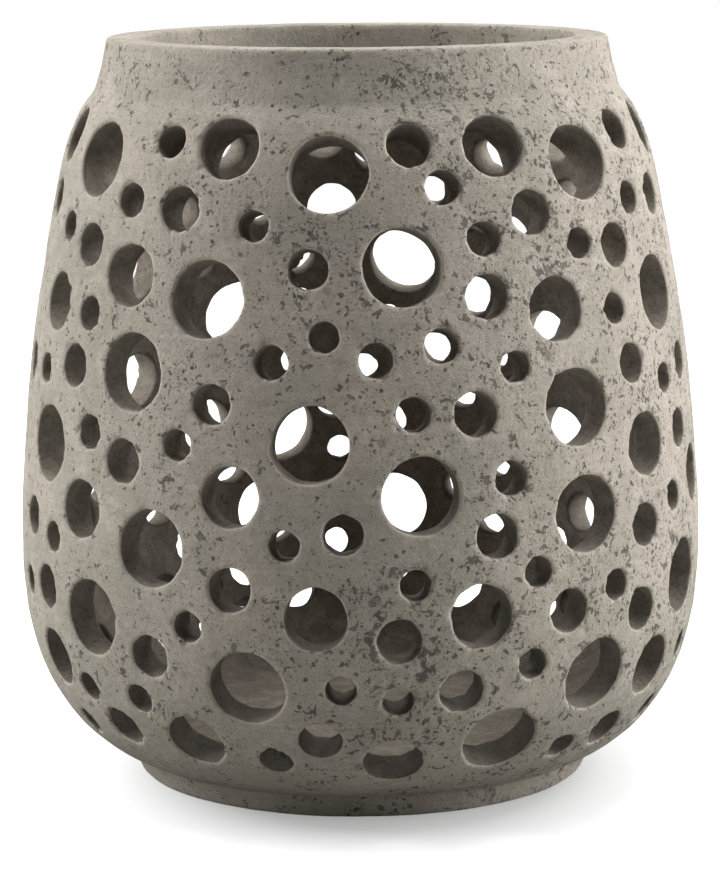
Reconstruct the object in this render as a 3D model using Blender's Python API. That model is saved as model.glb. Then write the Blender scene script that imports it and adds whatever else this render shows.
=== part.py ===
"""Pierced stone candle lantern: one cast shell standing on four felt pads.

Frame: metres, +Z up, origin on the axis at floor level, front of the lantern
towards -Y.  Every height below is in millimetres above the foot ring's
underside; azimuths are in degrees, 0 at the front (-Y), +90 at +X.

Design
  shell    270 high, 250 across the belly, foot ring 166 across, collar 181
           across at the rim and 191 at its root
  wall     11 in the belly, thickening to 17 under the shoulder, 12 at the lip
  holes    cored square to the surface, in seven core sizes (CORES), laid out
           by hand in wandering courses that break up any regular row
  inside   bored collar 157 across, flat floor 18 above the foot
  pads     four felt discs let into the underside of the foot ring
"""
import math

import bmesh
import bpy
import numpy as np
from mathutils import Vector
from mathutils.geometry import delaunay_2d_cdt

MM = 0.001

for ob in list(bpy.data.objects):
    bpy.data.objects.remove(ob, do_unlink=True)

# --------------------------------------------------------------- dimensions
HEIGHT = 270.0
NECK_ROOT = 250.0        # where the collar meets the shoulder
WALL_TOP = 249.4         # the pierced zone ends here
WALL_BOTTOM = 15.5
FOOT_TOP = 9.0
FLOOR = 18.0
BORE = 78.5              # collar bore radius
PAD_RADIUS = 75.0        # pitch radius of the pads
PAD = (5.5, 2.0)         # radius, thickness
SOCKET = (5.9, 1.9)      # radius, depth of the pocket that takes a pad

# core sizes, mm
CORES = {"a": 10.6, "b": 11.8, "c": 13.8, "d": 15.2, "e": 20.6, "f": 21.8, "g": 26.6}
SIDES = {"a": 6, "b": 7, "c": 7, "d": 8, "e": 9, "f": 9, "g": 11}

# azimuth and height of every hole, by core size
HOLES = {
    "g": [(-5.4, 229.4), (7.4, 198.4), (-26.6, 187), (-8, 139.7), (9.6, 122.3), (-18.7, 54.9), (24.7, 33),
          (-58.2, 230.8), (-40.9, 160.5), (-64.2, 130), (-35.4, 101), (-49.4, 72.6), (45.8, 230.4),
          (65.2, 181.8), (38.1, 148.2), (38.9, 111.4), (67.6, 79.2), (42, 53),
          (170.4, 177), (206.5, 156), (196.2, 108), (173.1, 73.5), (198.8, 72.8), (138.4, 145.7),
          (96, 231), (233, 232), (120, 186), (248.5, 195), (105.5, 155), (265.5, 155), (248, 121),
          (92, 118), (119.5, 93), (101, 77), (118, 46), (266.5, 109), (234.5, 179), (135.8, 106.8)],
    "f": [(-25, 237.5), (26.4, 237.6), (-7.1, 80.6), (19.2, 80.2), (-30.6, 31.8), (-43.6, 192.9),
          (35.5, 181.9), (54.9, 131), (58.4, 49.8), (212.2, 110.7), (230.9, 133.5),
          (129, 232), (188.5, 231), (262, 234), (97, 195.5), (107, 115), (240.5, 98), (249.5, 82),
          (271.5, 46.5)],
    "e": [(-21, 121.2), (5.6, 27), (-66, 179.7), (-51.8, 110.4), (-63.5, 52.2), (76.4, 113.5),
          (-76.8, 237), (79.5, 238), (-88, 132), (185.8, 198.3), (156.6, 164.2), (195, 40.4), (158.7, 41),
          (162, 239), (251, 163), (123.5, 134), (96, 43), (235.9, 40.5), (262, 65)],
    "d": [(9.6, 238.7), (-33.6, 216.4), (32.3, 214.7), (22.1, 187.8), (18.9, 149), (21.9, 107.3),
          (-20.9, 89.6), (6, 72.9), (16.3, 53.8), (-7.1, 35.8), (-56.2, 201.4), (-56.5, 159.4),
          (-41.8, 129.8), (-63.8, 78.3), (-36.3, 62.7), (-47.6, 31.8), (62, 239.6), (71.8, 215.2),
          (52.3, 200.8), (53.3, 102.9), (35, 78.5), (52.2, 73.2), (50.9, 28.4),
          (164.3, 206), (193.3, 179), (193, 158.2), (144.4, 189.3), (126, 206), (147.6, 220.4),
          (211.8, 223.8), (222, 199.5), (152, 139.8), (174.3, 110), (152.8, 71.2), (137.7, 62.6),
          (216.6, 61.5), (224.3, 79.9), (225, 42.5), (204.5, 49), (-87, 186), (85.5, 205), (87, 172),
          (113, 238), (217.5, 241), (248, 241), (115, 219), (245, 217), (269, 214.5), (262, 197),
          (134, 177), (122, 163), (183, 164), (238, 156), (254, 143),
          (145.8, 123.5), (114.5, 71), (173, 48.9), (174.5, 31.3), (205.5, 28), (235, 62), (263, 86),
          (273, 86.5), (262, 30), (84, 34), (192.3, 136), (215.3, 24.2), (130.4, 78), (162.9, 102.7)],
    "c": [(-8.7, 197.9), (-24.6, 152.2), (-2.7, 109.7), (-77.8, 214.2), (-78.8, 155.2), (-70.5, 101.5),
          (52.6, 159.9), (73.3, 155.3), (68.6, 132.3), (201.5, 199), (159.2, 122.2), (185.2, 117.3),
          (206.9, 92.3), (151.8, 94.6), (159.5, 83.3), (87, 141), (177, 240), (109.5, 198.5), (263.5, 178),
          (221, 163), (100, 134), (226, 114), (142, 88), (255.5, 101.5), (92, 62), (127.3, 61),
          (147.5, 51), (145.2, 29.6), (121.5, 24), (104, 26.5), (229, 24.5), (274.5, 67.5), (164.1, 140)],
    "b": [(15.3, 224.5), (22.3, 207), (13.6, 172.2), (-14.6, 167), (2.7, 168), (8.7, 149.8),
          (24.6, 126.5), (-15.7, 26.5), (-38.2, 238.7), (-45.6, 218.1), (-53.5, 178.2), (-50.4, 137.8),
          (60, 215.8), (66.5, 29.5), (152.8, 194.3), (177.6, 219.8), (179.1, 131.8), (215.5, 178),
          (251, 33), (185.5, 77), (182, 42), (88, 84), (140, 240),
          (203, 240), (104, 212), (135, 214), (199.5, 215), (226.5, 212.5), (256, 213), (133, 194),
          (159, 184), (207, 184), (101, 175), (93, 157), (174, 152.5), (219.5, 147), (261.5, 128.5),
          (111, 132), (122, 115.5), (169, 125.5), (105, 55.5), (129.5, 40), (161.8, 59.5), (165.5, 27),
          (214, 43), (236, 80), (247.5, 62), (257, 47), (241.4, 24.6), (276.5, 28), (136.7, 35)],
    "a": [(-18.7, 211.9), (-5.8, 175.7), (26.4, 163.9), (-30.7, 137.6), (-12, 105.7), (29.1, 93.6),
          (8.5, 92.2), (-28.4, 75.4), (-3.3, 55.4), (5.9, 51.3), (28.5, 61.2), (-66, 206.2),
          (-68.5, 155.5), (-60.9, 97.4), (-73.4, 76.7), (-53.8, 45), (-40.3, 45.7), (-61.5, 28),
          (42.5, 203), (49.5, 179.4), (63.7, 151.7), (63.7, 109.7), (45.3, 84.5), (72, 51.4),
          (39.9, 25.6), (184, 98), (184.9, 58.2), (155, 211), (237.5, 207), (146.5, 174.5),
          (176.4, 194.6), (212, 204), (111, 173), (116, 149), (181.3, 148), (221, 131), (244.5, 141),
          (236.2, 115), (224, 98.5), (147, 107.2), (94.5, 96.5), (106, 96.5), (145, 74.5)],
}

# --------------------------------------------------------------- profiles
# outside, from the top of the foot to the root of the collar: (height, radius)
SKIN = [(9.0, 87.6), (12.5, 94.5), (17, 100.6), (22, 106.0), (30, 112.0), (40, 117.4), (52, 121.4),
        (66, 124.0), (82, 125.0), (100, 124.8), (118, 123.6), (136, 122.2), (154, 120.2),
        (172, 117.7), (190, 114.5), (206, 111.6), (218, 109.1), (226, 107.3), (232, 105.6),
        (237, 103.7), (241, 101.9), (245, 99.8), (250, 96.0)]
# thickness measured square to the skin: (height on the skin, thickness)
THICK = [(9, 11), (60, 11), (160, 11.2), (187, 12.2), (215, 12.4), (224, 13.2), (232, 15), (239, 17), (250, 18)]


def spline(points):
    """Monotone cubic through (x, y) pairs, returns f(x) and its slope."""
    x = np.array([p[0] for p in points], float)
    y = np.array([p[1] for p in points], float)
    h = np.diff(x)
    d = np.diff(y) / h
    m = np.empty_like(x)
    m[0], m[-1] = d[0], d[-1]
    for i in range(1, len(x) - 1):
        if d[i - 1] * d[i] <= 0:
            m[i] = 0.0
        else:
            w1, w2 = 2 * h[i] + h[i - 1], h[i] + 2 * h[i - 1]
            m[i] = (w1 + w2) / (w1 / d[i - 1] + w2 / d[i])

    def value(q):
        i = int(min(max(np.searchsorted(x, q) - 1, 0), len(h) - 1))
        t = (q - x[i]) / h[i]
        a = (2 * t ** 3 - 3 * t ** 2 + 1) * y[i] + (t ** 3 - 2 * t ** 2 + t) * h[i] * m[i]
        return a + (-2 * t ** 3 + 3 * t ** 2) * y[i + 1] + (t ** 3 - t ** 2) * h[i] * m[i + 1]

    def slope(q):
        return (value(q + 0.05) - value(q - 0.05)) / 0.1

    return value, slope


skin, skin_slope = spline(SKIN)
thick, _ = spline(THICK)


def skin_normal(z):
    s = skin_slope(z)
    k = math.hypot(1.0, s)
    return 1.0 / k, -s / k          # radial, vertical


def inner_point(z):
    """Point of the inside face opposite height z of the skin: (height, radius)."""
    nr, nz = skin_normal(z)
    t = thick(z)
    return z - nz * t, skin(z) - nr * t


zs = np.arange(WALL_BOTTOM, WALL_TOP + 0.01, 0.5)
arc = np.concatenate([[0.0], np.cumsum([math.hypot(0.5, skin(b) - skin(a)) for a, b in zip(zs, zs[1:])])])
inside = np.array([inner_point(z) for z in zs] + [(246.5, BORE)])


def inner_radius(z):
    return float(np.interp(z, inside[:, 0], inside[:, 1]))


def world(az, z, r):
    a = math.radians(az)
    return np.array([r * math.sin(a), -r * math.cos(a), z])


def drop(p, axis, radius_at, start):
    """Slide p along axis until it sits on the face of revolution radius_at."""
    lo, hi = start
    q = lambda t: math.hypot(*(p + axis * t)[:2]) - radius_at((p + axis * t)[2])
    for _ in range(40):
        mid = 0.5 * (lo + hi)
        if q(mid) > 0:
            hi = mid
        else:
            lo = mid
    return p + axis * 0.5 * (lo + hi)


def rim(az, z, size):
    """Outer and inner rim of one cored hole, as matching lists of points."""
    n = SIDES[size]
    rad = 0.5 * CORES[size] * math.sqrt(2 * math.pi / n / math.sin(2 * math.pi / n))
    nr, nz = skin_normal(z)
    a = math.radians(az)
    out = np.array([math.sin(a) * nr, -math.cos(a) * nr, nz])
    side = np.array([math.cos(a), math.sin(a), 0.0])
    up = np.cross(out, side)
    c = world(az, z, skin(z))
    outer, inner = [], []
    for k in range(n):
        t = 2 * math.pi * (k + 0.5 * (round(az) % 2)) / n
        p = c + rad * (math.cos(t) * side + math.sin(t) * up)
        outer.append(drop(p, out, skin, (-4.0, 3.0)))
        inner.append(drop(p, out, inner_radius, (-thick(z) - 5.0, -thick(z) + 5.0)))
    return outer, inner


def unroll(p):
    """(x, y) of a skin point on the flat development used for meshing."""
    az = math.degrees(math.atan2(p[0], -p[1]))
    return az * 2.1, float(np.interp(p[2], zs, arc))


# --------------------------------------------------------------- the wall
SEG = 40
flat, outer_pts, inner_pts, loops = [], [], [], []


def add(point_out, point_in):
    flat.append(unroll(point_out))
    outer_pts.append(point_out)
    inner_pts.append(point_in)
    return len(flat) - 1


rings = []
for z in (WALL_BOTTOM, WALL_TOP):
    zi, ri = (246.5, BORE) if z == WALL_TOP else inner_point(z)
    ring = []
    for k in range(SEG):
        az = -180 + 360 * k / SEG
        ring.append(add(world(az, z, skin(z)), world(az, zi, ri)))
    rings.append(ring)

hole_list = []
for size, places in HOLES.items():
    for az, z in places:
        outer, inner = rim(az, z, size)
        loops.append([add(o, i) for o, i in zip(outer, inner)])
        hole_list.append((az, z, CORES[size] / 2))

# a few free points keep the wall round where the holes leave room
centres = np.array([world(az, z, skin(z)) for az, z, _ in hole_list])
radii = np.array([r for _, _, r in hole_list])
for row in range(23):
    for k in range(40):
        az = -179.3 + 9.0 * (k + 0.5 * (row % 2)) + 0.7 * math.sin(5.0 * k + row)
        z = 23.0 + 9.5 * row + 0.6 * math.cos(3.0 * k + 2.0 * row)
        p = world(az, z, skin(z))
        if (np.linalg.norm(centres - p, axis=1) - radii).min() > 6.2:
            zi, ri = inner_point(z)
            add(p, world(az, zi, ri))

# triangulate the development with a repeat on both sides, then fold it shut
period = 360 * 2.1
base = len(flat)
pts, edges, copies = [], [], (-1, 0, 1)
for c in copies:
    for x, y in flat:
        pts.append(Vector((x + c * period, y)))
for n, c in enumerate(copies):
    off = n * base
    for loop in loops:
        xs = [flat[i][0] for i in loop]
        for i, j in zip(loop, loop[1:] + loop[:1]):
            d = flat[j][0] - flat[i][0]
            turn = -1 if d > period / 2 else (1 if d < -period / 2 else 0)
            m = n + turn
            if 0 <= m < len(copies):
                edges.append((off + i, m * base + j))
for ring in rings:
    for n in range(len(copies)):
        for i, j in zip(ring, ring[1:]):
            edges.append((n * base + i, n * base + j))
        if n + 1 < len(copies):
            edges.append((n * base + ring[-1], (n + 1) * base + ring[0]))
verts2, _, faces, orig_v, _, _ = delaunay_2d_cdt(pts, edges, [], 0, 1e-7)
owner = [o[0] for o in orig_v]
if len(verts2) != len(pts):
    raise RuntimeError("the wall development has crossing rims")

centre_xy = np.array([unroll(world(az if az <= 180 else az - 360, z, skin(z))) for az, z, _ in hole_list])
loop_xy = []
for loop in loops:
    q = np.array([flat[i] for i in loop])
    q[:, 0] -= period * np.round((q[:, 0] - q[0, 0]) / period)
    loop_xy.append(q)


def in_hole(x, y):
    for q in loop_xy:
        for s in (-period, 0.0, period):
            qx = q[:, 0] + s
            if qx.min() > x or qx.max() < x or q[:, 1].min() > y or q[:, 1].max() < y:
                continue
            inside_ = False
            for i in range(len(q)):
                x1, y1, x2, y2 = qx[i], q[i, 1], qx[i - 1], q[i - 1, 1]
                if (y1 > y) != (y2 > y) and x < (x2 - x1) * (y - y1) / (y2 - y1) + x1:
                    inside_ = not inside_
            if inside_:
                return True
    return False


wall = {}
for f in faces:
    ids = [owner[i] for i in f]
    xy = np.array([pts[i][:] for i in ids])
    cx, cy = xy.mean(axis=0)
    if not -period / 2 - 0.01 <= cx < period / 2 + 0.01:
        continue
    ring_only = all((i % base) in rings[0] for i in ids) or all((i % base) in rings[1] for i in ids)
    if ring_only or in_hole(cx, cy):
        continue
    tri = tuple(i % base for i in ids)
    if (xy[1, 0] - xy[0, 0]) * (xy[2, 1] - xy[0, 1]) - (xy[2, 0] - xy[0, 0]) * (xy[1, 1] - xy[0, 1]) < 0:
        tri = (tri[0], tri[2], tri[1])
    wall.setdefault(tuple(sorted(tri)), tri)

bm = bmesh.new()
vo = [bm.verts.new(p * MM) for p in outer_pts]
vi = [bm.verts.new(p * MM) for p in inner_pts]
for a, b, c in wall.values():
    bm.faces.new((vo[a], vo[b], vo[c]))
    bm.faces.new((vi[a], vi[c], vi[b]))
for loop in loops:
    for i, j in zip(loop, loop[1:] + loop[:1]):
        bm.faces.new((vo[j], vo[i], vi[i], vi[j]))


def ring_at(z, r):
    return [bm.verts.new(world(-180 + 360 * k / SEG, z, r) * MM) for k in range(SEG)]


def band(lower, upper):
    for k in range(SEG):
        j = (k + 1) % SEG
        bm.faces.new((lower[k], lower[j], upper[j], upper[k]))


# collar: out of the shoulder, up, over the lip and down the bore
path = [(251.2, 95.1), (260, 92.5), (268.8, 90.8), (270, 89.2), (270, 80.2), (268.6, BORE)]
last = [vo[i] for i in rings[1]]
for z, r in path:
    new = ring_at(z, r)
    band(last, new)
    last = new
band(last, [vi[i] for i in rings[1]])

# foot: down from the wall, under the ring, with the recess it stands around
last = [vo[i] for i in rings[0]]
for z, r in [(11.5, 92.4), (FOOT_TOP, 86.6), (7.4, 85.6), (0.8, 83.0), (0, 82.2)]:
    new = ring_at(z, r)
    band(new, last)
    last = new
foot_edge = last
last = [vi[i] for i in rings[0]]
for z, r in [(19.6, 87.5), (FLOOR, 80.0)]:
    new = ring_at(z, r)
    band(last, new)
    last = new
bm.faces.new(last)

# underside, with the four pad pockets cut in the ring
last = foot_edge
sock = []
inner_edge = ring_at(0, 68.0)
pocket_az = [45, 135, 225, 315]
pn = 12
ring_pts = [(v.co.x / MM, v.co.y / MM) for v in foot_edge] + [(v.co.x / MM, v.co.y / MM) for v in inner_edge]
ring_bm = list(foot_edge) + list(inner_edge)
ring_edges = [(k, (k + 1) % SEG) for k in range(SEG)] + [(SEG + k, SEG + (k + 1) % SEG) for k in range(SEG)]
pockets = []
for az in pocket_az:
    c = world(az, 0, PAD_RADIUS)
    mouth = []
    for k in range(pn):
        t = 2 * math.pi * k / pn
        ring_pts.append((c[0] + SOCKET[0] * math.cos(t) * 0.98, c[1] + SOCKET[0] * math.sin(t) * 0.98))
        v = bm.verts.new(Vector((ring_pts[-1][0], ring_pts[-1][1], 0)) * MM)
        ring_bm.append(v)
        mouth.append(v)
    first = len(ring_bm) - pn
    ring_edges += [(first + k, first + (k + 1) % pn) for k in range(pn)]
    pockets.append((c, mouth))
v2, _, f2, ov, _, _ = delaunay_2d_cdt([Vector(p) for p in ring_pts], ring_edges, [], 0, 1e-7)
for f in f2:
    ids = [ov[i][0] for i in f]
    xy = np.array([ring_pts[i] for i in ids])
    m = xy.mean(axis=0)
    if math.hypot(*m) < 67.95 or any(math.hypot(m[0] - c[0], m[1] - c[1]) < SOCKET[0] * 0.94 for c, _ in pockets):
        continue
    area = (xy[1, 0] - xy[0, 0]) * (xy[2, 1] - xy[0, 1]) - (xy[2, 0] - xy[0, 0]) * (xy[1, 1] - xy[0, 1])
    ids = ids if area < 0 else ids[::-1]
    bm.faces.new([ring_bm[i] for i in ids])
for c, mouth in pockets:
    top = [bm.verts.new((v.co.x, v.co.y, SOCKET[1] * MM)) for v in mouth]
    for k in range(pn):
        j = (k + 1) % pn
        bm.faces.new((mouth[j], mouth[k], top[k], top[j]))
    bm.faces.new(top[::-1])
last = inner_edge
for z, r in [(2.6, 66.5), (3.0, 65.5)]:
    new = ring_at(z, r)
    band(new, last)
    last = new
bm.faces.new(last[::-1])

bmesh.ops.triangulate(bm, faces=bm.faces[:])
bmesh.ops.recalc_face_normals(bm, faces=bm.faces[:])


def material(name, colour, roughness):
    m = bpy.data.materials.new(name)
    m.use_nodes = True
    bsdf = m.node_tree.nodes["Principled BSDF"]
    bsdf.inputs["Base Color"].default_value = (*colour, 1.0)
    bsdf.inputs["Roughness"].default_value = roughness
    bsdf.inputs["Metallic"].default_value = 0.0
    return m


def place(name, bm, look, at):
    mesh = bpy.data.meshes.new(name)
    bm.to_mesh(mesh)
    bm.free()
    mesh.materials.append(look)
    mesh.shade_smooth()
    mesh.set_sharp_from_angle(angle=math.radians(35))
    ob = bpy.data.objects.new(name, mesh)
    ob.location = Vector(at) * MM
    bpy.context.scene.collection.objects.link(ob)
    return ob


STONE = material("cast_stone", (0.42, 0.38, 0.34), 0.9)
FELT = material("felt", (0.10, 0.095, 0.09), 0.95)

# the pads stand 0.4 proud of the foot, so the shell sits that much higher
LIFT = 0.4
body = place("lantern_body", bm, STONE, (0, 0, LIFT))

# --------------------------------------------------------------- the pads

for n, az in enumerate(pocket_az, 1):
    c = world(az, 0, PAD_RADIUS)
    rad, tall = PAD
    bm = bmesh.new()
    rings_ = []
    for z, r in ((0, rad - 0.3), (0.3, rad), (tall - 0.2, rad), (tall, rad - 0.2)):
        rings_.append([bm.verts.new(Vector((r * math.cos(2 * math.pi * k / 24),
                                            r * math.sin(2 * math.pi * k / 24), z)) * MM) for k in range(24)])
    for lo, hi in zip(rings_, rings_[1:]):
        for k in range(24):
            j = (k + 1) % 24
            bm.faces.new((lo[k], lo[j], hi[j], hi[k]))
    bm.faces.new(rings_[0][::-1])
    bm.faces.new(rings_[-1])
    bmesh.ops.triangulate(bm, faces=bm.faces[:])
    place("foot_pad_%d" % n, bm, FELT, c)

print("holes", len(hole_list), "body triangles", len(body.data.polygons))
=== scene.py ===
"""Looks of the pierced stone lantern: camera, studio light, floor, and a finely
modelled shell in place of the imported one, cut from the same outline and holes.

The shell is worked out in millimetres in its own frame, with the foot's
underside at 0, and scaled to metres when the mesh is made. Azimuth 0 is the
front (-Y), +90 is +X.
"""
import math

import bpy
import numpy as np
from mathutils import Matrix, Vector


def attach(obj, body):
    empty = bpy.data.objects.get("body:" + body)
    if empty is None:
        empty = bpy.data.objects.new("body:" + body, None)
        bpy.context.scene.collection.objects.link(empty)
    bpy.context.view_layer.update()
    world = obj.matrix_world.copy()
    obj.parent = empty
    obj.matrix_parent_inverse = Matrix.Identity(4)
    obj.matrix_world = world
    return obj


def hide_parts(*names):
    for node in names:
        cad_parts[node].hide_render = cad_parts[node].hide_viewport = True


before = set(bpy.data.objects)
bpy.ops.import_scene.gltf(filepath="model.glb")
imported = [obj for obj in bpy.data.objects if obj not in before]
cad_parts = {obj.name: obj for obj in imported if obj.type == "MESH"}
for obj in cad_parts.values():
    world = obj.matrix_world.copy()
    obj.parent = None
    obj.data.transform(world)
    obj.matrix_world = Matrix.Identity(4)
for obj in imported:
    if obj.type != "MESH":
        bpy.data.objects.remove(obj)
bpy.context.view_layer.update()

MM = 0.001
LIFT = 0.4                       # the pads hold the shell this far off the floor
HEIGHT = 270.0                   # top of the rim
COLLAR_BORE = 78.5               # radius inside the collar
BELLY_RADIUS = 124.0
FLOOR_TOP, FLOOR_UNDER = 18.0, 3.0      # the floor inside, and its underside within the foot ring
POCKET_PITCH, POCKET_RADIUS, POCKET_DEPTH = 75.0, 5.9, 1.9      # the recesses for the pads
POCKET_AZIMUTHS = (45, 135, 225, 315)

# core sizes, mm
CORES = {"a": 10.6, "b": 11.8, "c": 13.8, "d": 15.2, "e": 20.6, "f": 21.8, "g": 26.6}

# azimuth and height of every hole, by core size
HOLES = {
    "g": [(-5.4, 229.4), (7.4, 198.4), (-26.6, 187), (-8, 139.7), (9.6, 122.3), (-18.7, 54.9), (24.7, 33),
          (-58.2, 230.8), (-40.9, 160.5), (-64.2, 130), (-35.4, 101), (-49.4, 72.6), (45.8, 230.4),
          (65.2, 181.8), (38.1, 148.2), (38.9, 111.4), (67.6, 79.2), (42, 53),
          (170.4, 177), (206.5, 156), (196.2, 108), (173.1, 73.5), (198.8, 72.8), (138.4, 145.7),
          (96, 231), (233, 232), (120, 186), (248.5, 195), (105.5, 155), (265.5, 155), (248, 121),
          (92, 118), (119.5, 93), (101, 77), (118, 46), (266.5, 109), (234.5, 179), (135.8, 106.8)],
    "f": [(-25, 237.5), (26.4, 237.6), (-7.1, 80.6), (19.2, 80.2), (-30.6, 31.8), (-43.6, 192.9),
          (35.5, 181.9), (54.9, 131), (58.4, 49.8), (212.2, 110.7), (230.9, 133.5),
          (129, 232), (188.5, 231), (262, 234), (97, 195.5), (107, 115), (240.5, 98), (249.5, 82),
          (271.5, 46.5)],
    "e": [(-21, 121.2), (5.6, 27), (-66, 179.7), (-51.8, 110.4), (-63.5, 52.2), (76.4, 113.5),
          (-76.8, 237), (79.5, 238), (-88, 132), (185.8, 198.3), (156.6, 164.2), (195, 40.4), (158.7, 41),
          (162, 239), (251, 163), (123.5, 134), (96, 43), (235.9, 40.5), (262, 65)],
    "d": [(9.6, 238.7), (-33.6, 216.4), (32.3, 214.7), (22.1, 187.8), (18.9, 149), (21.9, 107.3),
          (-20.9, 89.6), (6, 72.9), (16.3, 53.8), (-7.1, 35.8), (-56.2, 201.4), (-56.5, 159.4),
          (-41.8, 129.8), (-63.8, 78.3), (-36.3, 62.7), (-47.6, 31.8), (62, 239.6), (71.8, 215.2),
          (52.3, 200.8), (53.3, 102.9), (35, 78.5), (52.2, 73.2), (50.9, 28.4),
          (164.3, 206), (193.3, 179), (193, 158.2), (144.4, 189.3), (126, 206), (147.6, 220.4),
          (211.8, 223.8), (222, 199.5), (152, 139.8), (174.3, 110), (152.8, 71.2), (137.7, 62.6),
          (216.6, 61.5), (224.3, 79.9), (225, 42.5), (204.5, 49), (-87, 186), (85.5, 205), (87, 172),
          (113, 238), (217.5, 241), (248, 241), (115, 219), (245, 217), (269, 214.5), (262, 197),
          (134, 177), (122, 163), (183, 164), (238, 156), (254, 143),
          (145.8, 123.5), (114.5, 71), (173, 48.9), (174.5, 31.3), (205.5, 28), (235, 62), (263, 86),
          (273, 86.5), (262, 30), (84, 34), (192.3, 136), (215.3, 24.2), (130.4, 78), (162.9, 102.7)],
    "c": [(-8.7, 197.9), (-24.6, 152.2), (-2.7, 109.7), (-77.8, 214.2), (-78.8, 155.2), (-70.5, 101.5),
          (52.6, 159.9), (73.3, 155.3), (68.6, 132.3), (201.5, 199), (159.2, 122.2), (185.2, 117.3),
          (206.9, 92.3), (151.8, 94.6), (159.5, 83.3), (87, 141), (177, 240), (109.5, 198.5), (263.5, 178),
          (221, 163), (100, 134), (226, 114), (142, 88), (255.5, 101.5), (92, 62), (127.3, 61),
          (147.5, 51), (145.2, 29.6), (121.5, 24), (104, 26.5), (229, 24.5), (274.5, 67.5), (164.1, 140)],
    "b": [(15.3, 224.5), (22.3, 207), (13.6, 172.2), (-14.6, 167), (2.7, 168), (8.7, 149.8),
          (24.6, 126.5), (-15.7, 26.5), (-38.2, 238.7), (-45.6, 218.1), (-53.5, 178.2), (-50.4, 137.8),
          (60, 215.8), (66.5, 29.5), (152.8, 194.3), (177.6, 219.8), (179.1, 131.8), (215.5, 178),
          (251, 33), (185.5, 77), (182, 42), (88, 84), (140, 240),
          (203, 240), (104, 212), (135, 214), (199.5, 215), (226.5, 212.5), (256, 213), (133, 194),
          (159, 184), (207, 184), (101, 175), (93, 157), (174, 152.5), (219.5, 147), (261.5, 128.5),
          (111, 132), (122, 115.5), (169, 125.5), (105, 55.5), (129.5, 40), (161.8, 59.5), (165.5, 27),
          (214, 43), (236, 80), (247.5, 62), (257, 47), (241.4, 24.6), (276.5, 28), (136.7, 35)],
    "a": [(-18.7, 211.9), (-5.8, 175.7), (26.4, 163.9), (-30.7, 137.6), (-12, 105.7), (29.1, 93.6),
          (8.5, 92.2), (-28.4, 75.4), (-3.3, 55.4), (5.9, 51.3), (28.5, 61.2), (-66, 206.2),
          (-68.5, 155.5), (-60.9, 97.4), (-73.4, 76.7), (-53.8, 45), (-40.3, 45.7), (-61.5, 28),
          (42.5, 203), (49.5, 179.4), (63.7, 151.7), (63.7, 109.7), (45.3, 84.5), (72, 51.4),
          (39.9, 25.6), (184, 98), (184.9, 58.2), (155, 211), (237.5, 207), (146.5, 174.5),
          (176.4, 194.6), (212, 204), (111, 173), (116, 149), (181.3, 148), (221, 131), (244.5, 141),
          (236.2, 115), (224, 98.5), (147, 107.2), (94.5, 96.5), (106, 96.5), (145, 74.5)],
}

# holes whose far rim came out of the mould ragged: (azimuth, height) of the
# hole, how far the rag reaches in, and the clock angle of its middle
RAGGED = [(-7.1, 35.8, 4.6, 285), (16.3, 53.8, 3.4, 215), (-3.3, 55.4, 2.6, 250), (5.9, 51.3, 2.4, 300),
          (-15.7, 26.5, 2.2, 90), (-47.6, 31.8, 2.4, 60), (50.9, 28.4, 2.6, 240), (-8.7, 197.9, 1.4, 200),
          (155, 211, 2.0, 100), (216.6, 61.5, 2.6, 250), (127.3, 61, 2.4, 280), (174.5, 31.3, 3.2, 300),
          (229, 24.5, 2.4, 90), (262, 30, 3.0, 240), (104, 26.5, 2.6, 60), (241.4, 24.6, 1.8, 270)]

# outside, from the top of the foot to the root of the collar: (height, radius)
SKIN = [(9.0, 87.6), (12.5, 94.5), (17, 100.6), (22, 106.0), (30, 112.0), (40, 117.4), (52, 121.4),
        (66, 124.0), (82, 125.0), (100, 124.8), (118, 123.6), (136, 122.2), (154, 120.2),
        (172, 117.7), (190, 114.5), (206, 111.6), (218, 109.1), (226, 107.3), (232, 105.6),
        (237, 103.7), (241, 101.9), (245, 99.8), (250, 96.0)]
# thickness measured square to the skin: (height on the skin, thickness)
THICK = [(9, 11), (60, 11), (160, 11.2), (187, 12.2), (215, 12.4), (224, 13.2), (232, 15), (239, 17), (250, 18)]


# ------------------------------------------------------------------ outline
def spline(points):
    """Monotone cubic through (x, y) pairs."""
    x, y = (np.array(c, float) for c in zip(*points))
    h, d = np.diff(x), np.diff(y) / np.diff(x)
    m = np.concatenate([[d[0]], np.zeros(len(x) - 2), [d[-1]]])
    for i in range(1, len(x) - 1):
        if d[i - 1] * d[i] > 0:
            a, b = 2 * h[i] + h[i - 1], h[i] + 2 * h[i - 1]
            m[i] = (a + b) / (a / d[i - 1] + b / d[i])

    def value(q):
        i = np.clip(np.searchsorted(x, q) - 1, 0, len(h) - 1)
        t = (q - x[i]) / h[i]
        return ((2 * t ** 3 - 3 * t ** 2 + 1) * y[i] + (t ** 3 - 2 * t ** 2 + t) * h[i] * m[i]
                + (-2 * t ** 3 + 3 * t ** 2) * y[i + 1] + (t ** 3 - t ** 2) * h[i] * m[i + 1])

    return value


skin, thick = spline(SKIN), spline(THICK)


def skin_normal(z):
    """Radial and upward parts of the skin's outward normal at height z."""
    s = (skin(z + 0.05) - skin(z - 0.05)) / 0.1
    k = math.hypot(1.0, s)
    return 1.0 / k, -s / k


def inner_point(z):
    """Radius and height of the inside face, square in from the skin at height z."""
    nr, nz = skin_normal(z)
    return skin(z) - nr * thick(z), z - nz * thick(z)


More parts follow.
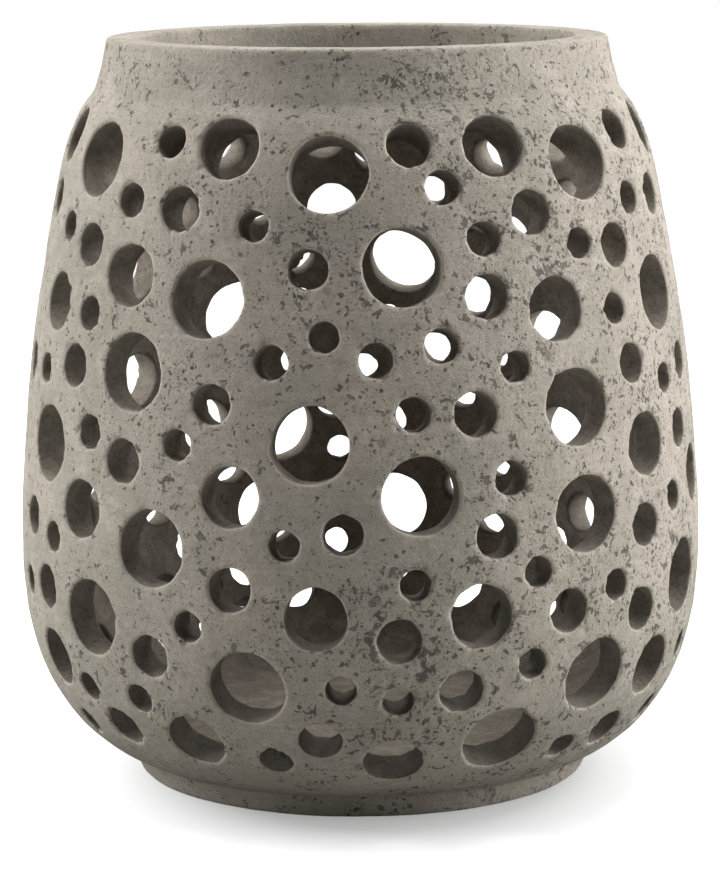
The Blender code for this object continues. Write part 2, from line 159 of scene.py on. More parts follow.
# pairs of an outside and an inside point, from the underside of the floor round
# the foot, up the wall and past the rim: (outer r, z, inner r, z)
ends_low = [(58, 3.0, 58, 18.0), (65.0, 3.0, 64, 18.0), (66.2, 2.7, 65, 18.0), (67.6, 0.4, 66, 18.0),
            (68.4, 0.0, 66.8, 18.0), (81.4, 0.0, 77, 18.0), (82.4, 0.3, 78, 18.02), (83.0, 1.1, 78.8, 18.08),
            (85.7, 7.6, 81.5, 18.5), (86.1, 8.4, 82.6, 18.8), (87.0, 8.9, 84.2, 19.3), (90.6, 10.4, 86.9, 20.5)]
ends_high = [(96.0, 250.0, 80.7, 242.3), (95.1, 251.4, 79.3, 245.0), (94.0, 255.0, 78.6, 250.0),
             (92.5, 260.0, COLLAR_BORE, 257.5), (90.8, 268.6, COLLAR_BORE, 268.0),
             (90.0, 273.0, COLLAR_BORE, 273.0)]
FOOT_ROW = 5                     # the foot ring's outer edge: from here the outline only rises
WALL_ROW = len(ends_low)         # the first row of the wall
CORNER_TOP, CORNER_RISE, CORNER = 15.5, 3.0, (88.6, 21.6)       # where the inside wall runs into the floor
pairs = list(ends_low)
for z in np.arange(12.5, 249.0, 1.0):
    ri, zi = inner_point(z)
    if z < CORNER_TOP:
        k = (CORNER_TOP - z) / CORNER_RISE
        ri, zi = ri * (1 - k) + CORNER[0] * k, zi * (1 - k) + CORNER[1] * k
    pairs.append((float(skin(z)), float(z), float(ri), float(zi)))
pairs = np.array(pairs + ends_high)
along = np.concatenate([[0], np.cumsum(np.hypot(*np.diff(pairs[:, :2], axis=0).T))])


def way_up(z, row=WALL_ROW):
    """How far along the outside outline the height z is, counted from its first point."""
    return float(np.interp(z, pairs[row:, 1], along[row:]))


# ------------------------------------------------------------------ lattice
# a curved grid that follows the wall: NU round, NS up, NW through
STEP = 0.72
NU = int(2 * math.pi * BELLY_RADIUS / STEP)
NS = int(along[-1] / STEP)
NW = 22
PAST = 0.13                      # how far the grid goes past both faces, in thicknesses
RIM_ROWS = 40                    # the grid's top rows, which the rim's top face cuts
s_at = np.linspace(0, along[-1], NS)
CELL_S = s_at[1]
lines = np.stack([np.interp(s_at, along, pairs[:, i]) for i in range(4)], 1)
w_at = np.linspace(-PAST, 1 + PAST, NW)
GR = lines[:, None, 0] * (1 - w_at) + lines[:, None, 2] * w_at        # radius of each node
GZ = lines[:, None, 1] * (1 - w_at) + lines[:, None, 3] * w_at        # height of each node
U = np.arange(NU) * 2 * math.pi / NU - math.pi


def column(a):
    """The grid column nearest to angle a."""
    return int((a + math.pi) / (2 * math.pi) * NU)


def distance(r, z, path):
    """Distance from each (r, z) to a polyline."""
    best = np.full(r.shape, 1e9)
    for (r0, z0), (r1, z1) in zip(path, path[1:]):
        dr, dz = r1 - r0, z1 - z0
        t = np.clip(((r - r0) * dr + (z - z0) * dz) / (dr * dr + dz * dz), 0, 1)
        best = np.minimum(best, (r - r0 - t * dr) ** 2 + (z - z0 - t * dz) ** 2)
    return np.sqrt(best)


def round_max(a, b, k):
    """Intersection of two solids with its edge rounded to radius k."""
    a, b = a + k, b + k
    return np.minimum(np.maximum(a, b), 0) + np.hypot(np.maximum(a, 0), np.maximum(b, 0)) - k


def hill(x, middle, width):
    """Smooth hill, 1 at its middle."""
    return np.exp(-((x - middle) / width) ** 2)


def cloth(nu, ns, seed):
    """Smooth random field over the (round, up) grid, -1..1, periodic round."""
    g = np.random.default_rng(seed).uniform(-1, 1, (nu, ns + 3))
    pu, ps = (U + math.pi) / (2 * math.pi) * nu, np.linspace(0, ns, NS)
    iu, is_ = pu.astype(int), np.minimum(ps.astype(int), ns - 1)
    fu, fs = pu - iu, ps - is_
    fu, fs = fu * fu * (3 - 2 * fu), fs * fs * (3 - 2 * fs)
    a = g[iu % nu] * (1 - fu[:, None]) + g[(iu + 1) % nu] * fu[:, None]
    return (a[:, is_] * (1 - fs) + a[:, is_ + 1] * fs).astype(np.float32)


def layers(nu, ns, seed, n=3):
    """n octaves of cloth, each twice as fine and 0.55 as strong as the last."""
    f, amp, tot = 0, 1.0, 0
    for i in range(n):
        f = f + amp * cloth(nu * 2 ** i, ns * 2 ** i, seed + i)
        tot += amp
        amp *= 0.55
    return f / tot


# ------------------------------------------------------------------ surface
# wear[u, s] is how far the outside is worn in, mm; flake[u, s] marks its flakes
wave = 0.16 * layers(26, 14, 5, 3) + 0.06 * layers(150, 90, 9, 2)
wear = wave.copy()
flake = np.zeros((NU, NS), np.float32)
rng = np.random.default_rng(41)

FLAKE_TRIES = 3000
FLAKE_LARGEST = 3.4              # radius, mm
FLAKE_EDGE = 0.5                 # mm over which a flake's edge falls
CHIP_OUT = 0.4                   # how far outside a hole's edge its chips sit, mm


def stamp(az, s, size, depth, seed, mark):
    """Presses one irregular angular flake into the outside."""
    g = np.random.default_rng(seed)
    j = int(s / CELL_S)
    if not 2 < j < NS - 3:
        return
    cell_u = 2 * math.pi * lines[j, 0] / NU
    i = column(math.radians(az))
    du, ds = int(size / cell_u) + 2, int(size / CELL_S) + 2
    ii = np.arange(i - du, i + du + 1)
    jj = np.arange(max(j - ds, 0), min(j + ds + 1, NS))
    x = (ii - i)[:, None] * cell_u
    y = (jj * CELL_S - s)[None, :]
    n = g.integers(5, 9)
    corner = g.uniform(0.45, 1.0, n) * size
    t = (np.arctan2(y, x) / (2 * math.pi) + g.uniform()) % 1.0 * n
    k = t.astype(int) % n
    f = t - np.floor(t)
    reach = corner[k] * (1 - f) + corner[(k + 1) % n] * f
    m = np.clip((reach - np.hypot(x * g.uniform(0.8, 1.5), y)) / FLAKE_EDGE, 0, 1)
    at = np.ix_(ii % NU, jj)
    wear[at] = np.maximum(wear[at], wave[at] + m * depth)
    flake[at] = np.maximum(flake[at], m * mark)


def crowd(az, z):
    """How thickly the flakes lie here: the front's right side and the collar have most."""
    right = 0.9 * hill(az, 48, 34)
    left = 0.25 * hill(az, -70, 26)
    back = 0.55 * hill(abs(az), 165, 40)
    middle = (0.35 if 60 < z < 215 else 0.15) * hill(az, 2, 14)
    collar = 0.8 * hill(z, 262, 14) * hill(az, 14, 30)
    low = 0.35 * hill(z, 22, 20)
    return 0.22 + right + left + back + middle + collar + low


for _ in range(FLAKE_TRIES):
    az, z = rng.uniform(-180, 180), rng.uniform(2, HEIGHT - 1)
    size, depth = rng.pareto(2.6) * 0.55 + 0.75, rng.uniform(0.16, 0.42)
    keep, tag = rng.uniform(0, 1.25), rng.integers(1 << 30)
    if keep < crowd(az, z):
        stamp(az, way_up(z, FOOT_ROW), min(size, FLAKE_LARGEST), depth, tag, rng.uniform(0.55, 1.0))

holes = [(az if az <= 180 else az - 360, z, CORES[k] / 2) for k, v in HOLES.items() for az, z in v]
for az, z, rad in holes:
    for _ in range(rng.integers(1, 5)):
        t, size = rng.uniform(0, 2 * math.pi), rng.uniform(0.8, 2.3)
        depth, tag = rng.uniform(0.3, 0.8), rng.integers(1 << 30)
        turn = math.degrees((rad + CHIP_OUT) * math.cos(t) / float(skin(z)))
        stamp(az + turn, way_up(z) + (rad + CHIP_OUT) * math.sin(t), size, depth, tag, 0.8)

# F is the distance to the shell's surface, below 0 in the stone
outer = distance(GR, GZ, pairs[:, :2]) * np.where(w_at < 0, 1, -1)
inner = distance(GR, GZ, pairs[:, 2:]) * np.where(w_at > 1, 1, -1)
out_part = outer.astype(np.float32)[None] + wear[:, :, None]
grain_in = (0.22 * layers(40, 24, 21, 3) + 0.10 * layers(170, 90, 25, 2))[:, :, None]
in_part = inner.astype(np.float32)[None] + grain_in
F = round_max(out_part, in_part, 0.5).astype(np.float32)
# the rim's top is flat to within 0.2 mm, and its edges are rounded
top = (GZ[-RIM_ROWS:] - HEIGHT).astype(np.float32)[None] + 0.10 * layers(30, 3, 31, 2)[:, :1, None] + 0.10
F[:, -RIM_ROWS:] = round_max(F[:, -RIM_ROWS:], top, 1.1)
del out_part, in_part

# ------------------------------------------------------------------ holes
TAPER = 0.25                     # how much narrower a core is at its inner end, mm of radius
OUTSIDE = -9.0                   # marks nodes that no hole comes near
into_hole = np.full((NU, NS, NW), OUTSIDE, np.float32)      # how far inside a hole each node is, mm


def cut_hole(n, az, z, rad):
    """Takes hole n out of the shell, with its edge rounded and chipped."""
    g = np.random.default_rng(900 + n)
    # the grid's nodes round the hole, as depth below the skin and polar place across the core
    nr, nz = skin_normal(z)
    a = math.radians(az)
    out = np.array([math.sin(a) * nr, -math.cos(a) * nr, nz])
    side = np.array([math.cos(a), math.sin(a), 0.0])
    up = np.cross(out, side) * -1
    r0 = float(skin(z))
    c = np.array([r0 * math.sin(a), -r0 * math.cos(a), z])
    reach = rad * 1.5 + 4
    du, ds = int(reach / (2 * math.pi * r0 / NU)), int(reach / CELL_S)
    i0, j0 = column(a), int(way_up(z) / CELL_S)
    ii = np.arange(i0 - du, i0 + du + 1) % NU
    jj = np.arange(max(j0 - ds, 0), min(j0 + ds + 1, NS))
    u = U[ii][:, None, None]
    R, Z = GR[jj][None], GZ[jj][None]
    px, py, pz = R * np.sin(u) - c[0], -R * np.cos(u) - c[1], Z - c[2] + 0 * u
    q = px * out[0] + py * out[1] + pz * out[2]
    x, y = px * side[0] + py * side[1], px * up[0] + py * up[1] + pz * up[2]
    rho, t = np.hypot(x, y), np.arctan2(y, x)
    deep = np.clip(-q / float(thick(z)), -0.3, 1.3)
    # the core's radius: slightly oval, tapered, chipped most at both ends
    p = g.uniform(0, 2 * math.pi, 6)
    size = rad + rad * (0.012 * np.cos(2 * t + p[0]) + 0.010 * np.cos(3 * t + p[1]))
    size = size + 0.05 * np.cos(7 * t + p[2] + 3 * deep) - TAPER * np.clip(deep, 0, 1)
    chip = sum(w * np.cos(k * t + f + v * deep) for k, w, f, v in
               zip((4, 6, 9, 12), g.uniform(0.2, 1.0, 4), g.uniform(0, 6.3, 4), g.uniform(-4, 4, 4)))
    size = size + chip * (0.01 + 0.06 * hill(deep, 0, 0.10) + 0.05 * hill(deep, 1, 0.12))
    for ra, rz, amount, clock in RAGGED:
        if abs((ra - az + 180) % 360 - 180) < 0.6 and abs(rz - z) < 0.6:
            w = hill((t - math.radians(clock) + math.pi) % (2 * math.pi), math.pi, 1.1)
            rag = 0.6 + 0.4 * np.cos(5 * t + p[0]) + 0.35 * np.cos(11 * t + p[1]) + 0.3 * np.cos(19 * t + p[5])
            size = size - amount * w * rag * np.clip((deep - 0.62) / 0.25, 0, 1)
    hole = (size - rho).astype(np.float32)
    at = np.ix_(ii, jj, np.arange(NW))
    rounding = 0.8 + g.uniform(0, 0.4) + np.clip(0.28 * chip, -0.35, 0.7)
    F[at] = round_max(F[at], hole, rounding.astype(np.float32))
    into_hole[at] = np.maximum(into_hole[at], hole)


def cut_pocket(az):
    """Takes the recess for one pad out of the foot ring's underside."""
    a = math.radians(az)
    near = np.nonzero(np.abs((np.degrees(U) - az + 180) % 360 - 180) < 6)[0]
    jj = np.nonzero(lines[:, 1] < 3.5)[0]
    u = U[near][:, None, None]
    x = GR[jj][None] * np.sin(u) - POCKET_PITCH * math.sin(a)
    y = -GR[jj][None] * np.cos(u) + POCKET_PITCH * math.cos(a)
    cup = np.minimum(POCKET_RADIUS - np.hypot(x, y), POCKET_DEPTH - GZ[jj][None] + 0 * u).astype(np.float32)
    at = np.ix_(near, jj, np.arange(NW))
    F[at] = np.maximum(F[at], cup)


for n, (az, z, rad) in enumerate(holes):
    cut_hole(n, az, z, rad)
for az in POCKET_AZIMUTHS:
    cut_pocket(az)


# ------------------------------------------------------------------ meshing
def surface_net(F):
    """Quads round the zero level of F, periodic in the first axis.

    Gives each vertex's place on the grid (three arrays), the quads, and the
    cells that the vertices sit in.
    """
    solid = F < 0
    s = solid.astype(np.uint8)
    s1 = np.roll(s, -1, 0)
    count = np.zeros((NU, NS - 1, NW - 1), np.uint8)
    for arr in (s, s1):
        for dj in (0, 1):
            for dk in (0, 1):
                count += arr[:, dj:NS - 1 + dj, dk:NW - 1 + dk]
    cell = np.nonzero((count > 0) & (count < 8))
    ci, cj, ck = cell
    index = np.full((NU, NS - 1, NW - 1), -1, np.int32)
    index[cell] = np.arange(len(ci), dtype=np.int32)
    value = {}
    for a in (0, 1):
        for b in (0, 1):
            for c in (0, 1):
                value[a, b, c] = F[(ci + a) % NU, cj + b, ck + c]
    # each vertex is the mean of the places where its cell's edges cross the surface
    total, hits = np.zeros((len(ci), 3)), np.zeros(len(ci))
    for axis in range(3):
        for b in (0, 1):
            for c in (0, 1):
                lo = [b, c]
                lo.insert(axis, 0)
                hi = list(lo)
                hi[axis] = 1
                f0, f1 = value[tuple(lo)], value[tuple(hi)]
                cross = (f0 < 0) != (f1 < 0)
                t = np.where(cross, f0 / np.where(cross, f0 - f1, 1), 0)
                p = np.tile(np.array(lo, float), (len(ci), 1))
                p[:, axis] = t
                total += p * cross[:, None]
                hits += cross
    local = total / hits[:, None]
    # one quad for every grid edge that crosses the surface
    quads = []
    for axis in range(3):
        if axis == 0:
            f0, f1 = solid[:, 1:-1, 1:-1], np.roll(solid, -1, 0)[:, 1:-1, 1:-1]
        elif axis == 1:
            f0, f1 = solid[:, :-1, 1:-1], solid[:, 1:, 1:-1]
        else:
            f0, f1 = solid[:, 1:-1, :-1], solid[:, 1:-1, 1:]
        i, j, k = np.nonzero(f0 != f1)
        flip = f0[i, j, k]
        if axis == 0:
            ring = [index[i, j + dj, k + dk] for dj, dk in ((0, 0), (1, 0), (1, 1), (0, 1))]
        elif axis == 1:
            ring = [index[(i + di) % NU, j, k + dk] for di, dk in ((-1, 0), (-1, 1), (0, 1), (0, 0))]
        else:
            ring = [index[(i + di) % NU, j + dj, k] for di, dj in ((-1, 0), (0, 0), (0, 1), (-1, 1))]
        q = np.stack(ring, 1)
        q[flip] = q[flip][:, ::-1]
        quads.append(q)
    quads = np.concatenate(quads)
    return ci + local[:, 0], cj + local[:, 1], ck + local[:, 2], quads[(quads >= 0).all(1)], cell


gu, gs, gw, quads, cells = surface_net(F)
iu = gu.astype(int) % NU
ju, kw = np.minimum(gs.astype(int), NS - 2), np.minimum(gw.astype(int), NW - 2)
fu, fs, fw = gu - np.floor(gu), gs - ju, gw - kw


def across(grid):
    """Values of a (up, through) grid at the vertices."""
    return (grid[ju, kw] * (1 - fs) * (1 - fw) + grid[ju + 1, kw] * fs * (1 - fw)
            + grid[ju, kw + 1] * (1 - fs) * fw + grid[ju + 1, kw + 1] * fs * fw)


def within_cells(grid):
    """Values of a (round, up, through) grid at the vertices."""
    total = 0
    for a, part_u in ((0, 1 - fu), (1, fu)):
        for b, part_s in ((0, 1 - fs), (1, fs)):
            for c, part_w in ((0, 1 - fw), (1, fw)):
                total = total + part_u * part_s * part_w * grid[(iu + a) % NU, ju + b, kw + c]
    return total


vr, vz = across(GR), across(GZ)
va = gu * 2 * math.pi / NU - math.pi
co = np.stack([vr * np.sin(va), -vr * np.cos(va), vz + LIFT], 1) * MM
# per vertex: how deep in the wall (0 outside, 1 inside), whether in a hole, whether in a flake
depth = np.interp(gw, np.arange(NW), w_at)
bore = np.clip((within_cells(into_hole) + 1.6) / 1.4, 0, 1) * np.clip((depth + 0.02) / 0.10, 0, 1)
mark = flake[iu, ju] * np.clip(1 - depth * 8, 0, 1)

# close the middle of the floor and of the underside with one flat face each
ends = np.nonzero(cells[1] == 0)[0]
low, high = ends[depth[ends] < 0.5], ends[depth[ends] >= 0.5]
low, high = low[np.argsort(va[low])], high[np.argsort(va[high])]
co[high, 2] = (FLOOR_TOP + LIFT) * MM
co[low, 2] = (FLOOR_UNDER + LIFT) * MM


def relax(p, share, turns=6):
    """Evens out the ripple the lattice leaves on slanting faces, without shrinking them."""
    flat = quads.ravel()
    count = np.maximum(np.bincount(flat, minlength=len(p)), 1)
    for step in (0.6, -0.62) * turns:
        mid = p[quads].mean(1)
        near = np.stack([np.bincount(flat, np.repeat(mid[:, a], 4), len(p)) for a in range(3)], 1)
        p = p + step * share[:, None] * (near / count[:, None] - p)
    return p


# only the holes and the inside: the skin keeps its flakes
free = np.clip(np.maximum((bore - 0.35) / 0.3, (depth - 0.05) / 0.1), 0, 1)
free[ends] = 0
co = relax(co, free)

me = bpy.data.meshes.new("stone_shell")
me.vertices.add(len(co))
me.vertices.foreach_set("co", co.astype(np.float32).ravel())
loops = np.concatenate([quads.ravel(), low[::-1], high])
me.loops.add(len(loops))
me.loops.foreach_set("vertex_index", loops.astype(np.int32))
me.polygons.add(len(quads) + 2)
starts = np.concatenate([np.arange(len(quads) + 1) * 4, [len(quads) * 4 + len(low)]])
me.polygons.foreach_set("loop_start", starts.astype(np.int32))
me.update(calc_edges=True)
me.validate()
me.shade_smooth()
for name, values in (("bore", bore), ("depth", depth), ("flake", mark)):
    me.attributes.new(name, "FLOAT", "POINT").data.foreach_set("value", values.astype(np.float32))
shell = bpy.data.objects.new("stone_shell", me)
bpy.context.scene.collection.objects.link(shell)
del F, into_hole

# ------------------------------------------------------------------ materials
SKIN_TAN, SKIN_LIGHT = (0.291, 0.263, 0.220), (0.346, 0.308, 0.261)     # the skin's two main tones
SKIN_GREENISH, SKIN_WHITISH, SKIN_MOTTLE = (0.228, 0.218, 0.178), (0.415, 0.380, 0.333), (0.200, 0.182, 0.153)
# of these, the first is painted shade for the skin near the foot, and the last a hole-edge tone that is partly wear,
# partly painted highlight
SKIN_PAINTED_SHADE, LEVEL_LINE, EDGE_WEAR_AND_HIGHLIGHT = (0.203, 0.194, 0.154), (0.17, 0.155, 0.13), (0.43, 0.395, 0.345)
RAW_BROWN, RAW_TAN = (0.165, 0.144, 0.116), (0.255, 0.225, 0.184)       # the stone inside and in the holes
# the last of these is painted shade for the walls of the low holes
RAW_STAIN, RAW_GRAIN, RAW_PAINTED_SHADE = (0.070, 0.060, 0.050), (0.33, 0.295, 0.25), (0.046, 0.040, 0.033)
FELT_DARK, FELT_LIGHT = (0.075, 0.07, 0.064), (0.15, 0.14, 0.13)

# places where the skin has flaked off most: centre (mm), reach (mm), how much more
FLAKED = [((8, -122, 70), 52, 0.066), ((30, -92, 236), 40, 0.055), ((-6, -108, 205), 34, 0.052),
          ((62, -92, 196), 40, 0.045), ((20, -90, 262), 26, 0.060), ((112, -44, 80), 44, 0.045),
          ((-98, -62, 44), 30, 0.035), ((-86, 40, 240), 40, 0.045), ((60, 102, 150), 60, 0.035)]


class Net:
    """Short-hand for building a material's node tree."""

    def __init__(self, name):
        self.mat = bpy.data.materials.new(name)
        self.mat.use_nodes = True
        self.tree = self.mat.node_tree
        self.bsdf = self.tree.nodes["Principled BSDF"]

    def node(self, kind, ins=(), **props):
        n = self.tree.nodes.new(kind)
        for k, v in props.items():
            setattr(n, k, v)
        for k, v in dict(ins).items():
            self.set(n.inputs[k], v)
        return n

    def set(self, socket, v):
        if isinstance(v, bpy.types.NodeSocket):
            self.tree.links.new(v, socket)
        else:
            socket.default_value = v

    def principled(self, **ins):
        """Sets inputs of the material's shader; base_color is its Base Color."""
        for k, v in ins.items():
            name = k.replace("_", " ").title().replace("Ior", "IOR")
            self.set(self.bsdf.inputs[name], v)

    def math(self, op, a, b=0.0, c=0.0):
        return self.node("ShaderNodeMath", {0: a, 1: b, 2: c}, operation=op).outputs[0]

    def times(self, a, b):
        return self.math("MULTIPLY", a, b)

    def most(self, a, b):
        return self.math("MAXIMUM", a, b)

    def vector(self, op, a, b, out="Vector"):
        return self.node("ShaderNodeVectorMath", {0: a, 1: b}, operation=op).outputs[out]

    def attr(self, name):
        return self.node("ShaderNodeAttribute", attribute_name=name).outputs["Fac"]

    def ramp(self, v, lo, hi, to_lo=0.0, to_hi=1.0, smooth=True):
        """Maps lo..hi to to_lo..to_hi, held at both ends."""
        ins = {"Value": v, "From Min": lo, "From Max": hi, "To Min": to_lo, "To Max": to_hi}
        return self.node("ShaderNodeMapRange", ins,
                         interpolation_type="SMOOTHSTEP" if smooth else "LINEAR").outputs["Result"]

    def noise(self, vec, scale, detail=3.0, rough=0.55, distort=0.0):
        ins = {"Vector": vec, "Scale": scale, "Detail": detail, "Roughness": rough, "Distortion": distort}
        return self.node("ShaderNodeTexNoise", ins).outputs["Fac"]

    def mix(self, f, a, b):
        n = self.node("ShaderNodeMix", data_type="RGBA")
        self.set(n.inputs[0], f)
        self.set(n.inputs[6], a if isinstance(a, bpy.types.NodeSocket) else (*a, 1.0))
        self.set(n.inputs[7], b if isinstance(b, bpy.types.NodeSocket) else (*b, 1.0))
        return n.outputs[2]


def stone():
    m = Net("cast_stone")
    pos = m.node("ShaderNodeTexCoord").outputs["Object"]
    mm = m.vector("MULTIPLY", pos, (1000, 1000, 1000))
    xyz = m.node("ShaderNodeSeparateXYZ", {0: mm}).outputs
    x, y, z = xyz["X"], xyz["Y"], xyz["Z"]
    bore, deep, flk = m.attr("bore"), m.attr("depth"), m.attr("flake")
    outside = m.ramp(deep, 0.25, 0.02)
    # the cast skin covers the outside and the collar's bore, but not the holes
    face = m.times(m.most(outside, m.ramp(z, 244, 249)), m.ramp(bore, 0.80, 0.40))

    # how much of the pale skin has flaked off here
    dens = m.math("ADD", m.ramp(x, -45, 105, 0.0, 0.040), m.ramp(m.noise(mm, 0.022, 3, 0.6), 0.42, 0.66, 0.0, 0.035))
    dens = m.math("ADD", dens, m.ramp(m.noise(mm, 0.085, 4, 0.6), 0.38, 0.68, -0.020, 0.062))
    for centre, reach, amount in FLAKED:
        gap = m.vector("DISTANCE", mm, centre, "Value")
        dens = m.math("ADD", dens, m.ramp(gap, reach, 0.0, 0.0, amount))

    def bare(scale, cut, share, detail=4.0, rough=0.62, soft=0.006, distort=0.6):
        """Bare spots in the skin: where a noise passes a level set by dens."""
        level = m.math("MULTIPLY_ADD", dens, -share, cut)
        return m.ramp(m.math("SUBTRACT", m.noise(mm, scale, detail, rough, distort), level), -soft, soft)

    large = bare(0.115, 0.705, 0.50, 6.0, 0.66)
    mid = bare(0.34, 0.685, 0.95, 4.0, 0.55)
    small = bare(0.95, 0.675, 0.80, 3.0, 0.50, 0.012, 0.3)
    spots = m.most(m.most(large, mid), m.times(small, 0.8))
    spots = m.most(spots, m.times(flk, 0.55))
    # round pits with ragged edges: some cells of a Voronoi pattern hold one each
    cell = m.node("ShaderNodeTexVoronoi", {"Vector": mm, "Scale": 0.42}).outputs
    pick = m.node("ShaderNodeSeparateColor", {0: cell["Color"]}).outputs
    ragged = m.times(m.math("SUBTRACT", m.noise(mm, 1.1, 3, 0.6), 0.5), 0.75)
    size = m.ramp(pick["Green"], 0.0, 1.0, 0.10, 0.34, False)
    pit = m.math("LESS_THAN", m.math("ADD", cell["Distance"], ragged), size)
    pit = m.times(pit, m.math("LESS_THAN", pick["Red"], m.math("MULTIPLY_ADD", dens, 4.6, 0.04)))
    spots = m.times(m.most(spots, m.times(pit, 1.08)), face)
    grains = m.noise(mm, 1.9, 4, 0.7)
    pin = m.ramp(grains, 0.315, 0.27)                  # pin holes

    # the skin's colour: two tones with greenish, whitish and darker clouds, and a painted shade low down
    base = m.mix(m.ramp(m.noise(mm, 0.035, 4, 0.6), 0.35, 0.65), SKIN_TAN, SKIN_LIGHT)
    base = m.mix(m.ramp(m.noise(mm, 0.014, 3, 0.55, 0.6), 0.48, 0.64, 0.0, 0.50), base, SKIN_GREENISH)
    base = m.mix(m.ramp(m.noise(mm, 0.11, 5, 0.65), 0.50, 0.72, 0.0, 0.50), base, SKIN_WHITISH)
    base = m.mix(m.ramp(m.noise(mm, 0.30, 4, 0.65), 0.42, 0.66, 0.0, 0.36), base, SKIN_MOTTLE)
    # painted shade: the skin darkens towards the foot, where less light reaches
    base = m.mix(m.ramp(z, 100, 10, 0.0, 0.26), base, SKIN_PAINTED_SHADE)
    # faint level lines left by the turning of the mould
    level = m.node("ShaderNodeCombineXYZ", {"X": m.times(x, 0.012), "Y": m.times(y, 0.012), "Z": z}).outputs[0]
    base = m.mix(m.ramp(m.noise(level, 0.9, 3, 0.6), 0.45, 0.70, 0.0, 0.17), base, LEVEL_LINE)
    # each hole's edge is a little lighter: partly wear, partly a painted highlight on its rounded lip
    edge = m.times(m.times(m.ramp(bore, 0.12, 0.40), m.ramp(bore, 0.85, 0.55)), outside)
    base = m.mix(m.times(edge, 0.30), base, EDGE_WEAR_AND_HIGHLIGHT)

    # fine grain, bare spots and pin holes all darken it
    fine = m.ramp(m.noise(mm, 2.6, 3, 0.6), 0.30, 0.70, 0.74, 1.22, False)
    tone = m.ramp(m.noise(mm, 0.20, 2, 0.5), 0.35, 0.65, 0.52, 0.70)      # share of light a bare spot loses
    shade = m.times(fine, m.math("SUBTRACT", 1.0, m.times(spots, tone)))
    shade = m.times(shade, m.math("SUBTRACT", 1.0, m.times(pin, m.times(face, 0.6))))
    grey = m.node("ShaderNodeCombineXYZ", {0: shade, 1: shade, 2: shade}).outputs[0]
    skin_colour = m.vector("MULTIPLY", base, grey)

    # holes and the inside: rawer and browner, and darker in the low holes, a painted shade where little light gets
    # in
    raw = m.mix(m.ramp(m.noise(mm, 0.13, 6, 0.7), 0.36, 0.66), RAW_BROWN, RAW_TAN)
    raw = m.mix(m.ramp(m.noise(mm, 0.75, 5, 0.7), 0.50, 0.70, 0, 0.75), raw, RAW_STAIN)
    raw = m.mix(m.ramp(grains, 0.60, 0.75, 0, 0.5), raw, RAW_GRAIN)
    # painted shade: the walls of the low holes darken, where little light gets in
    raw = m.mix(m.times(m.ramp(z, 150, 25, 0.05, 0.60), m.ramp(bore, 0.5, 0.95)), raw, RAW_PAINTED_SHADE)
    hollow = m.times(m.ramp(deep, 0.55, 0.85), m.ramp(z, 249, 243, 0.12, 1.0))
    inside = m.most(m.ramp(bore, 0.50, 0.95), hollow)

    # relief: grain, then the bare spots sunk in, then pin holes
    height = m.math("SUBTRACT", m.times(m.noise(mm, 0.7, 6, 0.7), 0.9), m.times(spots, 0.35))
    height = m.math("SUBTRACT", height, m.times(pin, 0.6))
    bump = m.node("ShaderNodeBump", {"Height": height, "Strength": 0.8, "Distance": 0.0007}).outputs[0]
    m.principled(base_color=m.mix(inside, skin_colour, raw), roughness=m.ramp(grains, 0.3, 0.7, 0.80, 0.96),
                 specular_ior_level=0.25, normal=bump)
    return m.mat


def felt():
    m = Net("felt_pad")
    pos = m.node("ShaderNodeTexCoord").outputs["Object"]
    fibre = m.noise(pos, 2600.0, 4, 0.7, 1.5)
    bump = m.node("ShaderNodeBump", {"Height": fibre, "Strength": 0.6, "Distance": 0.0003}).outputs[0]
    m.principled(base_color=m.mix(m.ramp(fibre, 0.35, 0.65), FELT_DARK, FELT_LIGHT), roughness=0.97,
                 sheen_weight=0.3, normal=bump)
    return m.mat


shell.data.materials.append(stone())
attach(shell, "root")
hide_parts("lantern_body")

pad_felt = felt()
for n in range(1, 5):
    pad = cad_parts["foot_pad_%d" % n]
    pad.data.materials.clear()
    pad.data.materials.append(pad_felt)

# ------------------------------------------------------------------ studio
AMBIENT = 0.10                   # strength of the backdrop's light; the backdrop itself shows as 1
FLOOR_HALF = 6.0
PAPER_BOUNCE, PAPER_SEEN = (0.375, 0.375, 0.36), (0.30, 0.30, 0.30)
# the paper's painted glow, dimmest round the lantern so that it paints a soft shadow there: the glow's distance from
# its centre and strength, where it starts to grow and where it is full
PAINTED_GLOW_CENTRE, PAINTED_GLOW_SQUEEZE = (0.012, -0.012, 0.0), (1.35, 1.0, 1.0)
PAINTED_GLOW_NEAR, PAINTED_GLOW_FAR = (0.085, 0.34), (0.165, 1.0)

world = bpy.data.worlds.new("studio")
bpy.context.scene.world = world
world.use_nodes = True
sky = world.node_tree
sky.nodes["Background"].inputs["Color"].default_value = (1, 1, 1, 1)
# the backdrop is white; the light it gives is dimmer, so that the lamps do the modelling
seen = sky.nodes.new("ShaderNodeLightPath").outputs["Is Camera Ray"]
level = sky.nodes.new("ShaderNodeMapRange")
level.inputs["To Min"].default_value, level.inputs["To Max"].default_value = AMBIENT, 1.0
sky.links.new(seen, level.inputs["Value"])
sky.links.new(level.outputs["Result"], sky.nodes["Background"].inputs["Strength"])
bpy.context.scene.view_settings.view_transform = "Standard"

floor_me = bpy.data.meshes.new("floor")
corners = [(-FLOOR_HALF, -FLOOR_HALF, 0), (FLOOR_HALF, -FLOOR_HALF, 0),
           (FLOOR_HALF, FLOOR_HALF, 0), (-FLOOR_HALF, FLOOR_HALF, 0)]
floor_me.from_pydata(corners, [], [(0, 1, 2, 3)])
floor = bpy.data.objects.new("floor", floor_me)
bpy.context.scene.collection.objects.link(floor)
paper = Net("paper")
direct = paper.node("ShaderNodeLightPath").outputs["Is Camera Ray"]
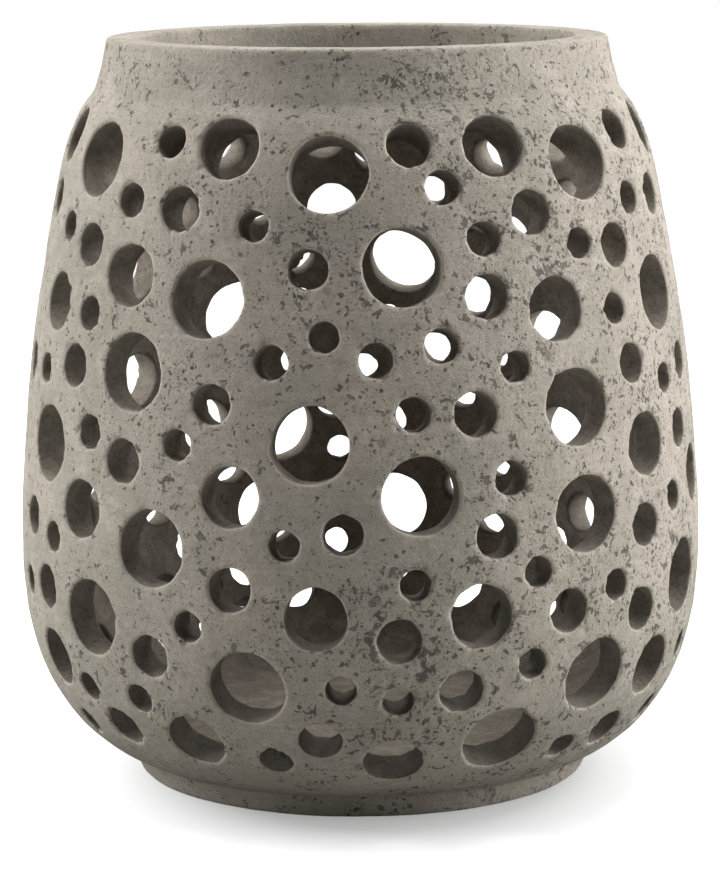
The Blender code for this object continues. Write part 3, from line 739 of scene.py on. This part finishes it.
# painted light: the paper glows, more so further out, and its dimmer glow round the lantern's foot paints a soft
# shadow there
place = paper.vector("MULTIPLY", paper.node("ShaderNodeTexCoord").outputs["Object"], PAINTED_GLOW_SQUEEZE)
away = paper.vector("DISTANCE", place, PAINTED_GLOW_CENTRE, "Value")
painted_glow = paper.times(paper.ramp(away, PAINTED_GLOW_NEAR[0], PAINTED_GLOW_FAR[0], PAINTED_GLOW_NEAR[1], PAINTED_GLOW_FAR[1], False), direct)
paper.principled(base_color=paper.mix(direct, PAPER_BOUNCE, PAPER_SEEN), roughness=1.0, specular_ior_level=0.0,
                 emission_color=(1, 1, 1, 1), emission_strength=painted_glow)
floor_me.materials.append(paper.mat)


def lamp(name, place, aim, size, power, tint=(1, 1, 1)):
    """A rectangular soft light, unseen by the camera."""
    data = bpy.data.lights.new(name, "AREA")
    data.shape = "RECTANGLE"
    data.size, data.size_y = size
    data.energy = power
    data.color = tint
    ob = bpy.data.objects.new(name, data)
    ob.location = place
    ob.rotation_euler = (Vector(aim) - Vector(place)).to_track_quat("-Z", "Y").to_euler()
    ob.visible_camera = False
    bpy.context.scene.collection.objects.link(ob)


lamp("left_bank", (-1.15, 0.06, 0.66), (0, 0, 0.14), (1.0, 1.2), 29, (0.99, 0.99, 1.0))
lamp("right_bank", (1.15, -0.07, 0.66), (0, 0, 0.14), (1.0, 1.2), 36, (0.99, 0.99, 1.0))
lamp("top_bank", (0.0, 0.40, 1.60), (0, 0, 0.1), (1.2, 1.2), 27)

# ------------------------------------------------------------------ camera
LENS, SENSOR = 138.9, 36.0       # mm
EYE = (0.00007, -1.24113, 0.33603)
PITCH, ROLL = 9.84, -0.416       # degrees down from level, and about the line of sight

cam_data = bpy.data.cameras.new("view")
cam_data.lens = LENS
cam_data.sensor_width = SENSOR
cam_data.clip_start, cam_data.clip_end = 0.05, 50.0
cam = bpy.data.objects.new("view", cam_data)
cam.matrix_world = (Matrix.Translation(EYE) @ Matrix.Rotation(math.radians(90 - PITCH), 4, "X")
                    @ Matrix.Rotation(math.radians(ROLL), 4, "Z"))
bpy.context.scene.collection.objects.link(cam)
bpy.context.scene.camera = cam
